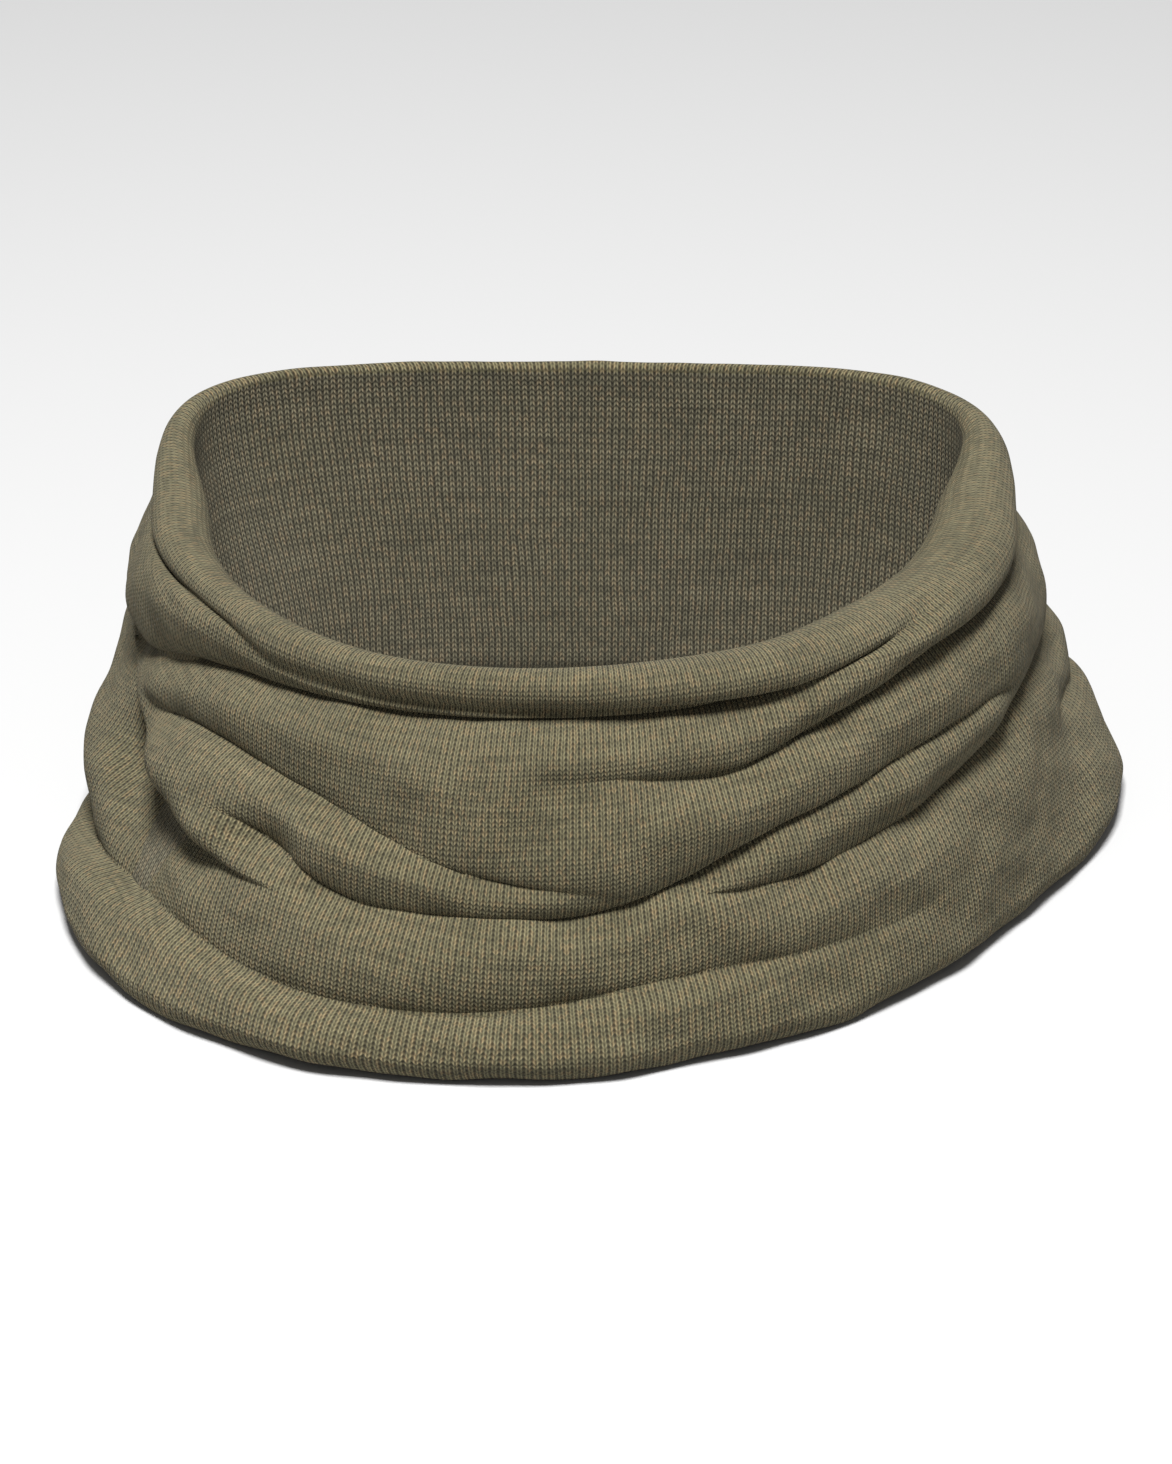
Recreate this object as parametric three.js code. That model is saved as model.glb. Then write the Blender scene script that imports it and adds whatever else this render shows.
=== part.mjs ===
// A doubled tube of fine knitted jersey, worn round the neck, standing slumped on its bottom fold.
// Millimetres, +Z up, front towards -Y. Azimuth 0 is the front and +90 is +X, on the right seen from
// the front.
import * as THREE from "three";

// ---- Driving dimensions -------------------------------------------------------------------------

// The rim, measured to the outside of its fold.
const RIM_HEIGHT = 78;
const RIM_HALF_WIDTH = 94.5;
const RIM_FRONT_DEPTH = 81;
const RIM_BACK_DEPTH = 72;
const RIM_FRONT_CORNERS = 2.2; // 2 is an ellipse, more is squarer
const RIM_BACK_CORNERS = 4.4;

// The base, measured to the outside of the bottom fold.
const BASE_HALF_WIDTH = 118.5;
const BASE_FRONT_DEPTH = 108.5;
const BASE_BACK_DEPTH = 76;
const BASE_FRONT_CORNERS = 2.2;
const BASE_BACK_CORNERS = 2.6;
const BASE_SKEW = 0.09; // how far the base is drawn out towards its fullest corner
const BASE_SKEW_AZIMUTH = -44;
const BASE_SKEW_BEHIND = 0.4; // share of the skew that is left at the back
const BASE_LOBE = 0.03; // a third, smaller bulge round the base
const FLARE_POWER = 1.4; // the sides stay steep at the top and spread near the floor

// Cloth and folds.
const CLOTH = 1.2;
const RIM_FOLD_FRONT = 6;
const RIM_FOLD_SIDE = 10;
const RIM_FOLD_BACK = 5.5;
const BASE_FOLD = 6.5;
const BASE_FLATTENED = 0.8; // how far the bottom fold is pressed flat on the floor
const FOLD_GAP = 0.3; // between one length of cloth and the next
const CREASE_WIDTH = 6.5;
const CREASE_ROUNDING = 3;

// The join low on the inside, and what is caught in it.
const JOIN_ANGLE = -150; // where on the bottom fold the two edges meet, 0 outward and -90 down
const ALLOWANCE_HEIGHT = 5;
const ALLOWANCE_THICKNESS = 1.6;
const THREAD_RADIUS = 0.35;
const THREAD_CLEARANCE = 0.35;
const OVERLOCK_STITCHES = 30;
const OVERLOCK_START = -178; // where the thread starts and ends, behind
const OVERLOCK_END = 178;
const CLOSING_START = 136;
const CLOSING_END = 158;
const CLOSING_STITCHES = 10;
const CLOSING_SPREAD = 9; // degrees round the bottom fold on each side of the join
const LABEL_AZIMUTH = 18;
const LABEL_WIDTH = 24;
const LABEL_LENGTH = 20;
const LABEL_TAPE = 0.4;
const LABEL_SLOT = 0.3; // between the two leaves of the folded tape
const LABEL_DROOP = 5; // degrees
const LABEL_CLEARANCE = 1.2;
const LABEL_STITCHES = 5;
const LABEL_STITCH_INSET = 2.8; // from the root of the label to the row of stitches
const LABEL_STITCH_SPREAD = 0.7;

// Mesh fineness.
const AZIMUTH_STEPS = 60;
const WALL_STEPS = 18;
const INNER_STEPS = 6;
const ARC_STEPS = 6;
const THREAD_STEPS = 6; // per stitch
const BASE_FOLD_ANGLES = [JOIN_ANGLE, -127, -105, -75, -50, -25, 0]; // from the join to the wall

// Creases of the outer wall: depth, and the line each follows as [azimuth, height] points.
// One that runs on behind ends at +-180, where its neighbour takes over at the same height.
const CREASES = [
  // Under the rim, from behind round the left side to the right of the front.
  { depth: 7, line: [[-180, 59], [-100, 56], [-77, 55], [-61, 61], [-38, 64], [0, 66], [48, 71]] },
  // Swag from the right side down to the middle of the front, and on behind.
  { depth: 7, line: [[8, 55], [23, 55], [40, 61], [55, 65], [72, 66], [90, 64], [180, 59]] },
  // Swag from the left side down to the middle.
  { depth: 6.5, line: [[-62, 50], [-47, 48.5], [-30, 42.5], [-14, 36], [0, 33]] },
  // The lowest swag, slung right across the front.
  { depth: 6, line: [[-39, 35], [-30, 29.5], [-7, 28.5], [11, 33.5], [24, 41], [46, 47], [60, 49]] },
  // Under the right-hand folds, and on behind.
  { depth: 7, line: [[22, 30], [34, 31.5], [58, 36.5], [72, 40], [90, 40], [180, 36]] },
  // From behind down the left side.
  { depth: 7, line: [[-180, 36], [-150, 33], [-120, 28], [-95, 24], [-80, 20]] },
  // Over the bottom fold.
  { depth: 5.5, line: [[-180, 14], [-120, 13], [-85, 11], [-58, 13], [-33, 10.5], [-12, 10.5], [28, 15]] },
  { depth: 5.5, line: [[110, 12], [180, 14]] },
];
const CREASE_FADE = 14; // degrees over which an open end dies away

// ---- Materials ----------------------------------------------------------------------------------

const outerCloth = new THREE.MeshStandardMaterial({ color: 0x67634a, roughness: 0.95, metalness: 0 });
const innerCloth = new THREE.MeshStandardMaterial({ color: 0x57533d, roughness: 0.95, metalness: 0 });
const threadFinish = new THREE.MeshStandardMaterial({ color: 0x4d4a36, roughness: 0.7, metalness: 0 });
const labelTape = new THREE.MeshStandardMaterial({ color: 0xd8d6cc, roughness: 0.6, metalness: 0 });

// ---- The tube's shape ---------------------------------------------------------------------------

const radians = THREE.MathUtils.degToRad;
const mix = THREE.MathUtils.lerp;

// Radius of the smooth wall, before any crease, at an azimuth and a height.
function wallRadius(azimuth, height) {
  const turn = radians(azimuth);
  const drop = THREE.MathUtils.clamp(1 - height / RIM_HEIGHT, 0, 1);
  const front = Math.cos(turn) >= 0;
  const halfWidth = mix(RIM_HALF_WIDTH, BASE_HALF_WIDTH, drop ** FLARE_POWER);
  const depth = front
    ? mix(RIM_FRONT_DEPTH, BASE_FRONT_DEPTH, drop)
    : mix(RIM_BACK_DEPTH, BASE_BACK_DEPTH, drop);
  const corners = front
    ? mix(RIM_FRONT_CORNERS, BASE_FRONT_CORNERS, drop)
    : mix(RIM_BACK_CORNERS, BASE_BACK_CORNERS, drop);
  const across = (Math.abs(Math.sin(turn)) / halfWidth) ** corners;
  const along = (Math.abs(Math.cos(turn)) / depth) ** corners;
  const skewLeft = mix(BASE_SKEW_BEHIND, 1, (1 + Math.cos(turn)) / 2);
  const skew = skewLeft * BASE_SKEW * Math.cos(2 * (turn - radians(BASE_SKEW_AZIMUTH)));
  const lobe = BASE_LOBE * Math.cos(3 * turn);
  return (across + along) ** (-1 / corners) * (1 + drop * (skew + lobe));
}

// Radius of the round of cloth at the rim: fullest at the sides.
function rimFold(azimuth) {
  const turn = radians(azimuth);
  const middle = Math.cos(turn) >= 0 ? RIM_FOLD_FRONT : RIM_FOLD_BACK;
  return mix(middle, RIM_FOLD_SIDE, Math.sin(turn) ** 2);
}

// How strongly a crease shows at an azimuth: full along it, dying away past an open end.
function creaseStrength(line, azimuth) {
  const start = line[0][0];
  const end = line[line.length - 1][0];
  const before = start <= -180 ? 0 : Math.max(0, start - azimuth);
  const after = end >= 180 ? 0 : Math.max(0, azimuth - end);
  return Math.exp(-(((before + after) / CREASE_FADE) ** 2));
}

// Height of a crease at an azimuth, by smooth steps between its points.
function creaseHeight(line, azimuth) {
  const next = line.findIndex((point) => point[0] >= azimuth);
  if (next === 0) return line[0][1];
  if (next < 0) return line[line.length - 1][1];
  const [startAzimuth, startHeight] = line[next - 1];
  const [endAzimuth, endHeight] = line[next];
  const share = THREE.MathUtils.smoothstep(azimuth, startAzimuth, endAzimuth);
  return mix(startHeight, endHeight, share);
}

// How far the outer wall is drawn in at a point; the deepest crease there counts.
function creaseDip(azimuth, height) {
  const dips = CREASES.map(({ depth, line }) => {
    const away = Math.hypot(height - creaseHeight(line, azimuth), CREASE_ROUNDING) - CREASE_ROUNDING;
    return depth * creaseStrength(line, azimuth) * Math.exp(-away / CREASE_WIDTH);
  });
  return Math.max(...dips);
}

// The bottom fold: the height of its middle, and the radius of its middle line at an azimuth.
const baseMiddleHeight = BASE_FOLD - BASE_FLATTENED;
const baseMiddleRadius = (azimuth) => wallRadius(azimuth, baseMiddleHeight) - BASE_FOLD;

// Gap between the outer and the inner wall, which the two folds set at their ends.
function layerGap(azimuth, height) {
  const top = RIM_HEIGHT - rimFold(azimuth);
  const share = THREE.MathUtils.clamp((height - baseMiddleHeight) / (top - baseMiddleHeight), 0, 1);
  return mix(2 * BASE_FOLD, 2 * rimFold(azimuth), share);
}

// A point of the section at an azimuth, in space.
function around(azimuth, radius, height) {
  const turn = radians(azimuth);
  return new THREE.Vector3(radius * Math.sin(turn), -radius * Math.cos(turn), height);
}

// ---- Building loops of cloth --------------------------------------------------------------------

// Points [radius, height] on an arc of the section, from one angle to another.
function arc(centre, height, radius, from, to, steps) {
  return Array.from({ length: steps + 1 }, (_, i) => {
    const angle = radians(mix(from, to, i / steps));
    return [centre + radius * Math.cos(angle), height + radius * Math.sin(angle)];
  });
}

// A closed loop of cloth: the section, which may differ at each azimuth, is carried round the tube.
function loopOfCloth(sectionAt) {
  const first = sectionAt(0).map(([radius, height]) => new THREE.Vector2(radius, height));
  first.push(first[0].clone());
  const geometry = new THREE.LatheGeometry(first, AZIMUTH_STEPS);
  const position = geometry.getAttribute("position");
  for (let step = 0; step <= AZIMUTH_STEPS; step++) {
    const azimuth = ((step % AZIMUTH_STEPS) * 360) / AZIMUTH_STEPS;
    const wrapped = azimuth > 180 ? azimuth - 360 : azimuth;
    const section = sectionAt(wrapped);
    section.push(section[0]);
    section.forEach(([radius, height], i) => {
      const point = around(wrapped, radius, height);
      position.setXYZ(step * section.length + i, point.x, point.y, point.z);
    });
  }
  return geometry;
}

// ---- Bottom fold: the round the gaiter stands on, from the join under to the foot of the wall ------

function bottomFoldSection(azimuth) {
  const middle = baseMiddleRadius(azimuth);
  // Pressed flat on the floor, so no point reaches below it.
  const round = (inset) =>
    BASE_FOLD_ANGLES.map((degrees) => {
      const angle = radians(degrees);
      const height = baseMiddleHeight + (BASE_FOLD - inset) * Math.sin(angle);
      return [middle + (BASE_FOLD - inset) * Math.cos(angle), Math.max(height, inset)];
    });
  return [...round(0), ...round(CLOTH).reverse()];
}

// ---- Outer layer: the creased wall between the bottom fold and the top fold -----------------------

function outerSection(azimuth) {
  const foot = baseMiddleHeight + FOLD_GAP;
  const top = RIM_HEIGHT - rimFold(azimuth) - FOLD_GAP;
  const wall = (inset) =>
    Array.from({ length: WALL_STEPS + 1 }, (_, i) => {
      const height = mix(foot, top, i / WALL_STEPS);
      // The wall leaves the two folds smoothly, so the creases fade beside them.
      const free = Math.min(1, (height - foot) / BASE_FOLD, (top - height) / CLOTH);
      return [wallRadius(azimuth, height) - free * creaseDip(azimuth, height) - inset, height];
    });
  return [...wall(0), ...wall(CLOTH).reverse()];
}

// ---- Top fold: the round where the outer layer turns over into the inner one ----------------------

function topFoldSection(azimuth) {
  const fold = rimFold(azimuth);
  const height = RIM_HEIGHT - fold;
  const centre = wallRadius(azimuth, height) - fold;
  const outside = arc(centre, height, fold, 0, 180, ARC_STEPS);
  const inside = arc(centre, height, fold - CLOTH, 0, 180, ARC_STEPS).reverse();
  return [...outside, ...inside];
}

// ---- Inner layer: the lining, from the join up to the top fold ------------------------------------

function innerSection(azimuth) {
  const top = RIM_HEIGHT - rimFold(azimuth) - FOLD_GAP;
  const middle = baseMiddleRadius(azimuth);
  const start = JOIN_ANGLE - THREE.MathUtils.radToDeg(FOLD_GAP / (BASE_FOLD - CLOTH));
  const wall = (inset) =>
    Array.from({ length: INNER_STEPS + 1 }, (_, i) => {
      const height = mix(baseMiddleHeight, top, i / INNER_STEPS);
      return [wallRadius(azimuth, height) - layerGap(azimuth, height) + inset, height];
    });
  const foot = (radius) => arc(middle, baseMiddleHeight, radius, start, -180, 2).slice(0, -1);
  return [...foot(BASE_FOLD - CLOTH), ...wall(CLOTH), ...wall(0).reverse(), ...foot(BASE_FOLD).reverse()];
}

// ---- Join seam: the two cut edges standing up in the hollow of the bottom fold --------------------

const allowanceFoot = CLOTH + FOLD_GAP;
const allowanceTop = allowanceFoot + ALLOWANCE_HEIGHT;

function allowanceSection(azimuth) {
  const inside = baseMiddleRadius(azimuth) - ALLOWANCE_THICKNESS / 2;
  const outside = inside + ALLOWANCE_THICKNESS;
  return [
    [inside, allowanceFoot],
    [outside, allowanceFoot],
    [outside, allowanceTop],
    [inside, allowanceTop],
  ];
}

// ---- Threads ------------------------------------------------------------------------------------

// A thread that swings to and fro in even stitches; pointAt gives its line from a share along the row
// (0 to 1) and a swing (-1 to 1).
function stitching(stitches, pointAt) {
  const steps = stitches * THREAD_STEPS;
  const points = Array.from({ length: steps + 1 }, (_, i) => {
    const swing = Math.sin((i / THREAD_STEPS) * 2 * Math.PI);
    return pointAt(i / steps, swing);
  });
  const section = new THREE.Shape().absarc(0, 0, THREAD_RADIUS, 0, 2 * Math.PI, false);
  return new THREE.ExtrudeGeometry(section, {
    steps,
    curveSegments: 3,
    bevelEnabled: false,
    extrudePath: new THREE.CatmullRomCurve3(points),
  });
}

// Overlocking over the raw edge of the allowance, from behind once round to behind.
function overlockThread() {
  const height = allowanceTop + THREAD_CLEARANCE + THREAD_RADIUS;
  const reach = ALLOWANCE_THICKNESS / 2;
  return stitching(OVERLOCK_STITCHES, (share, swing) => {
    const azimuth = mix(OVERLOCK_START, OVERLOCK_END, share);
    return around(azimuth, baseMiddleRadius(azimuth) + swing * reach, height);
  });
}

// Hand stitches across the join, where the tube was turned right side out.
function closingStitches() {
  const away = BASE_FOLD + THREAD_CLEARANCE + THREAD_RADIUS;
  return stitching(CLOSING_STITCHES, (share, swing) => {
    const azimuth = mix(CLOSING_START, CLOSING_END, share);
    const angle = radians(JOIN_ANGLE + swing * CLOSING_SPREAD);
    const radius = baseMiddleRadius(azimuth) + away * Math.cos(angle);
    return around(azimuth, radius, baseMiddleHeight + away * Math.sin(angle));
  });
}

// ---- Care label: a blank folded tape that lies inwards from the join ------------------------------

const labelThickness = 2 * LABEL_TAPE + LABEL_SLOT;
const labelRootHeight = baseMiddleHeight + BASE_FOLD * Math.sin(radians(JOIN_ANGLE));
const labelRootRadius = baseMiddleRadius(LABEL_AZIMUTH) - BASE_FOLD - LABEL_CLEARANCE;

// The tape seen from its side: two leaves joined by the fold at the free end.
function careLabel() {
  const half = labelThickness / 2;
  const slot = LABEL_SLOT / 2;
  const side = new THREE.Shape();
  side.moveTo(0, -half);
  side.lineTo(LABEL_LENGTH - half, -half);
  side.absarc(LABEL_LENGTH - half, 0, half, -Math.PI / 2, Math.PI / 2, false);
  side.lineTo(0, half);
  side.lineTo(0, slot);
  side.lineTo(LABEL_LENGTH - half, slot);
  side.lineTo(LABEL_LENGTH - half, -slot);
  side.lineTo(0, -slot);
  side.closePath();
  const options = { depth: LABEL_WIDTH, curveSegments: 4, bevelEnabled: false };
  return new THREE.ExtrudeGeometry(side, options).translate(0, 0, -LABEL_WIDTH / 2);
}

// The row of stitches over the root of the label.
function labelStitches() {
  const above = labelThickness / 2 + THREAD_CLEARANCE + THREAD_RADIUS;
  const reach = LABEL_WIDTH / 2 - THREAD_RADIUS;
  return stitching(LABEL_STITCHES, (share, swing) => {
    const along = LABEL_STITCH_INSET + swing * LABEL_STITCH_SPREAD;
    return new THREE.Vector3(along, above, mix(-reach, reach, share));
  });
}

// ---- The gaiter ---------------------------------------------------------------------------------

function named(name, geometry, material) {
  const mesh = new THREE.Mesh(geometry, material);
  mesh.name = name;
  return mesh;
}

// The label and its stitches share a frame at the root: x into the tube, y up, z along the join.
const label = new THREE.Group();
label.add(named("care_label", careLabel(), labelTape));
label.add(named("label_stitches", labelStitches(), threadFinish));
const before = around(LABEL_AZIMUTH - 1, baseMiddleRadius(LABEL_AZIMUTH - 1), 0);
const after = around(LABEL_AZIMUTH + 1, baseMiddleRadius(LABEL_AZIMUTH + 1), 0);
const inwards = new THREE.Vector3(0, 0, 1).cross(after.sub(before)).normalize();
const droop = radians(LABEL_DROOP);
const along = inwards.clone().multiplyScalar(Math.cos(droop)).setZ(-Math.sin(droop));
const over = inwards.clone().multiplyScalar(Math.sin(droop)).setZ(Math.cos(droop));
const across = along.clone().cross(over);
label.applyMatrix4(new THREE.Matrix4().makeBasis(along, over, across));
label.position.copy(around(LABEL_AZIMUTH, labelRootRadius, labelRootHeight));

const gaiter = new THREE.Group();
gaiter.name = "neck_gaiter";
gaiter.add(named("bottom_fold", loopOfCloth(bottomFoldSection), outerCloth));
gaiter.add(named("outer_layer", loopOfCloth(outerSection), outerCloth));
gaiter.add(named("top_fold", loopOfCloth(topFoldSection), outerCloth));
gaiter.add(named("inner_layer", loopOfCloth(innerSection), innerCloth));
gaiter.add(named("join_seam_allowance", loopOfCloth(allowanceSection), innerCloth));
gaiter.add(named("overlock_thread", overlockThread(), threadFinish));
gaiter.add(named("closing_stitches", closingStitches(), threadFinish));
gaiter.add(label);

// The origin is under the middle of the whole gaiter, on the floor.
const bounds = new THREE.Box3().setFromObject(gaiter, true);
const middle = bounds.getCenter(new THREE.Vector3());
gaiter.position.set(-middle.x, -middle.y, -bounds.min.z);

export default gaiter;
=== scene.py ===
import math

import bmesh
import bpy
import numpy as np
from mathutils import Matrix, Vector


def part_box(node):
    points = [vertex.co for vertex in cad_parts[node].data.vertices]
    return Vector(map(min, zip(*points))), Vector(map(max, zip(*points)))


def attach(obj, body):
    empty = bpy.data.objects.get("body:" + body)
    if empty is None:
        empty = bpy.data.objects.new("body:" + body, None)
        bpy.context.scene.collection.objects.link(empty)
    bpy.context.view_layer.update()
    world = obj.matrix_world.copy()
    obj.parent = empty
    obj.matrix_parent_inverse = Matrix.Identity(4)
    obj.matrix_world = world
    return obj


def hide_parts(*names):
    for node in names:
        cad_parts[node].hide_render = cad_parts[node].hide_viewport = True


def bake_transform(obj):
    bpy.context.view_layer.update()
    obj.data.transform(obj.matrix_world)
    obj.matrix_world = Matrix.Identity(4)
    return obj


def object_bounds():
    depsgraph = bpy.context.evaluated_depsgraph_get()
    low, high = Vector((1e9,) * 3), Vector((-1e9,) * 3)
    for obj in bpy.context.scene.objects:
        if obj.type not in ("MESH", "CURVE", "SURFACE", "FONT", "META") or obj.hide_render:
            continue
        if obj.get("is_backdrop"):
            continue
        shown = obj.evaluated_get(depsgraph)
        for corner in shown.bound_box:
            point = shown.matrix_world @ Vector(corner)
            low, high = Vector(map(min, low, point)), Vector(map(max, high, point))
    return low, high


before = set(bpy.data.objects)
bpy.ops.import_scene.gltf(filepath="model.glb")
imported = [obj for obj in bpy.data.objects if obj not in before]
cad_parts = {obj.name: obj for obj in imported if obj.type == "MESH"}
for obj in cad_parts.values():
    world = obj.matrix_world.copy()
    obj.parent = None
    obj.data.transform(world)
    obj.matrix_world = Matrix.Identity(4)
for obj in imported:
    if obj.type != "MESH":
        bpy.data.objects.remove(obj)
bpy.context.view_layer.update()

# ---- The doubled tube -------------------------------------------------------------------------------
# One length of fine wool jersey, knitted as a tube and doubled back on itself, stands slumped on its
# lower edge. Its whole skin is worked out once, as a section at each azimuth, and then cut into the
# bottom fold, the outer layer, the top fold and the inner layer, which then meet without a step.

MM = 0.001
top_low, top_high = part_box("top_fold")
# The middle of the tube's foot, from where the rim lies above it.
RIM_ASIDE, RIM_BEHIND = 0.17, 72.29
TUBE_CENTRE = np.array([
    (top_low.x + top_high.x) / 2 / MM - RIM_ASIDE, top_high.y / MM - RIM_BEHIND, 0.0])

COLUMNS = 480
AZIMUTH_GRID = np.arange(-180.0, 180.5, 0.5)


def softened(values, sigma, wraps):
    """Values at even steps, smoothed by a bell curve of that many steps."""
    if sigma <= 0:
        return values
    reach = int(4 * sigma) + 1
    bell = np.exp(-0.5 * (np.arange(-reach, reach + 1) / sigma) ** 2)
    bell /= bell.sum()
    padded = np.pad(values, reach, mode="wrap" if wraps else "edge")
    return np.convolve(padded, bell, mode="valid")


def round_table(points, azimuths, soften=4):
    """A value at each azimuth, from a few (azimuth, value) points that go right round."""
    known = [(a + turn, v) for turn in (-360, 0, 360) for a, v in points]
    a, v = zip(*sorted(known))
    grid = AZIMUTH_GRID[:-1]
    smooth = softened(np.interp(grid, a, v), soften / 0.5, True)
    return np.interp(azimuths, np.append(grid, 180.0), np.append(smooth, smooth[0]))


# The wall without its folds: a rounded ring at the rim that widens towards the floor.
RIM_HALF_WIDTH, BASE_HALF_WIDTH = 94.5, 118.5
RIM_FRONT, BASE_FRONT = 81.0, 108.5
RIM_BACK, BASE_BACK = 72.0, 76.0
RIM_TOP = 78.0
# How square the ring is: 2 is an ellipse, and a higher number has fuller corners.
FRONT_CORNERS, RIM_BACK_CORNERS, BASE_BACK_CORNERS = 2.2, 4.4, 2.6
# Towards the floor the ring is drawn out askew and is slightly three-cornered.
SKEW, SKEW_TURN, THREE_CORNERED = 0.09, 44, 0.03


def wall_radius(azimuth, height):
    turn = np.radians(azimuth)
    drop = np.clip(1 - height / RIM_TOP, 0, 1)
    front = np.cos(turn) >= 0
    half_width = RIM_HALF_WIDTH + (BASE_HALF_WIDTH - RIM_HALF_WIDTH) * drop**1.4
    depth = np.where(
        front,
        RIM_FRONT + (BASE_FRONT - RIM_FRONT) * drop,
        RIM_BACK + (BASE_BACK - RIM_BACK) * drop,
    )
    back_corners = RIM_BACK_CORNERS + (BASE_BACK_CORNERS - RIM_BACK_CORNERS) * drop
    corners = np.where(front, FRONT_CORNERS, back_corners)
    ring = (np.abs(np.sin(turn)) / half_width) ** corners + (np.abs(np.cos(turn)) / depth) ** corners
    front_share = (1 + np.cos(turn)) / 2
    skew = (0.4 + 0.6 * front_share) * SKEW * np.cos(2 * (turn + math.radians(SKEW_TURN)))
    return ring ** (-1 / corners) * (1 + drop * (skew + THREE_CORNERED * np.cos(3 * turn)))


# Columns are spaced as the cloth's wales are: closer where it slumps in front than behind.
fine = np.linspace(-180, 180, 2881)
ring_radius = wall_radius(fine, 45.0)
ring_x, ring_y = ring_radius * np.sin(np.radians(fine)), -ring_radius * np.cos(np.radians(fine))
ring_steps = np.hypot(np.diff(ring_x), np.diff(ring_y)) * (1 + 0.12 * np.cos(np.radians(fine[1:])))
ring_length = np.append(0, np.cumsum(ring_steps))
azimuth = np.interp(np.arange(COLUMNS) / COLUMNS * ring_length[-1], ring_length, fine)

# The rim: height of its crown, and half the width of the round of cloth there.
crown = round_table(
    [(-180, 79.2), (-150, 79.0), (-122, 79.0), (-90, 79.2), (-70, 80), (-60, 80), (-45, 79.4), (-30, 78),
     (0, 78.1), (30, 79), (45, 80.6), (60, 81), (90, 80), (112, 78.8), (124, 76.8), (140, 78.4)], azimuth)
roll_wide = round_table(
    [(-180, 1.6), (-140, 1.6), (-125, 1.8), (-116, 3.6), (-101, 6.3), (-87, 7.9), (-70, 7.6),
     (-56, 6.0), (-46, 5.0), (-37, 4.6), (-28, 4.5), (-14, 4.7), (0, 5.3), (15, 6.8), (30, 7.9),
     (43, 9.6), (56, 10.9), (75, 11.3), (96, 9.2), (112, 5.6), (121, 2.4), (130, 1.7), (150, 1.6)], azimuth)
# A narrow roll stands a little higher than it is wide, and a wide one lies flatter.
roll_high = np.minimum(roll_wide * 1.15, 5.5 + 0.45 * np.maximum(roll_wide - 5.5, 0))
rim_start = crown - roll_high
rim_out = round_table([(-180, 0), (-140, 0), (-118, 2.2), (-95, 1.4), (-75, 1.2), (-55, 0), (90, 0)], azimuth)
rim_middle = wall_radius(azimuth, rim_start) + rim_out - roll_wide

# The bottom fold, pressed flat where it stands.
FOLD_RADIUS = 6.5
FOLD_MIDDLE = 5.7
JOIN_ANGLE = -150.0
fold_ring = round_table(
    [(-180, 77), (-165, 79), (-150, 86), (-137, 95), (-125, 101), (-112, 105), (-100, 108), (-90, 111),
     (-81, 115), (-75, 119), (-70, 121.5), (-59, 125.5), (-46, 125.5), (-28, 122.6), (-11, 115.3),
     (0, 111.2), (14, 107), (26, 106.2), (42, 104.6), (51, 104.6), (62, 105.8), (72, 108.8), (79, 112.5),
     (85, 117.5), (91, 121), (99, 123), (109, 121.8), (118, 117), (128, 110), (140, 98), (155, 86),
     (168, 79)], azimuth, soften=3)
fold_out = fold_ring - wall_radius(azimuth, FOLD_MIDDLE)
fold_centre = fold_ring - FOLD_RADIUS

# Where the outer layer ends and the top fold starts: along the crease under the rim.
top_edge = round_table(
    [(-180, 59), (-150, 57.5), (-120, 56), (-100, 55), (-77, 54.5), (-61, 61), (-49, 64), (-38, 64.5),
     (-22, 65), (2, 66.5), (15, 67), (24, 67.5), (38, 67), (55, 65.2), (72, 66), (90, 64), (110, 62),
     (140, 60)], azimuth, soften=2)
top_edge = np.minimum(top_edge, rim_start - 1.2)


def arc(centre, middle, wide, high, degrees):
    turn = np.radians(np.asarray(degrees, float))[:, None]
    middle = np.broadcast_to(middle, centre.shape)
    return centre + wide * np.cos(turn), middle + high * np.sin(turn)


def between(low, high, steps, first=True):
    share = np.linspace(0, 1, steps + 1)[:, None]
    rows = low + (high - low) * share
    return rows if first else rows[1:]


HEM_ROWS, WALL_ROWS, UPPER_ROWS, ROLL_ROWS, LINING_ROWS, FOOT_ROWS = 12, 92, 22, 30, 56, 4
hem_radius, hem_height = arc(
    fold_centre, FOLD_MIDDLE, FOLD_RADIUS, FOLD_RADIUS, np.linspace(JOIN_ANGLE, 0, HEM_ROWS + 1)[:-1])
wall_height = np.vstack([
    between(np.full(COLUMNS, FOLD_MIDDLE), top_edge, WALL_ROWS),
    between(top_edge, rim_start, UPPER_ROWS, first=False)])
roll_degrees = np.linspace(0, 180, ROLL_ROWS + 1)[1:]
roll_radius, roll_height = arc(rim_middle, rim_start, roll_wide, roll_high, roll_degrees)
lining_height = between(rim_start, np.full(COLUMNS, FOLD_MIDDLE), LINING_ROWS, first=False)


# The lining is pushed in behind the deep folds on the left: how far, and where and how widely, as
# an azimuth and a height.
SLACK, SLACK_AZIMUTH, SLACK_WIDE, SLACK_HEIGHT, SLACK_HIGH = 7, -68, 16, 34, 13


def lining_radius_at(height):
    share = np.clip((height - FOLD_MIDDLE) / (rim_start - FOLD_MIDDLE), 0, 1)
    ease = share * share * (3 - 2 * share)
    slack = SLACK * np.exp(-(((azimuth - SLACK_AZIMUTH) / SLACK_WIDE) ** 2))
    slack = slack * np.exp(-(((height - SLACK_HEIGHT) / SLACK_HIGH) ** 2))
    return (fold_centre - FOLD_RADIUS) * (1 - ease) + (rim_middle - roll_wide) * ease - slack


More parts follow.
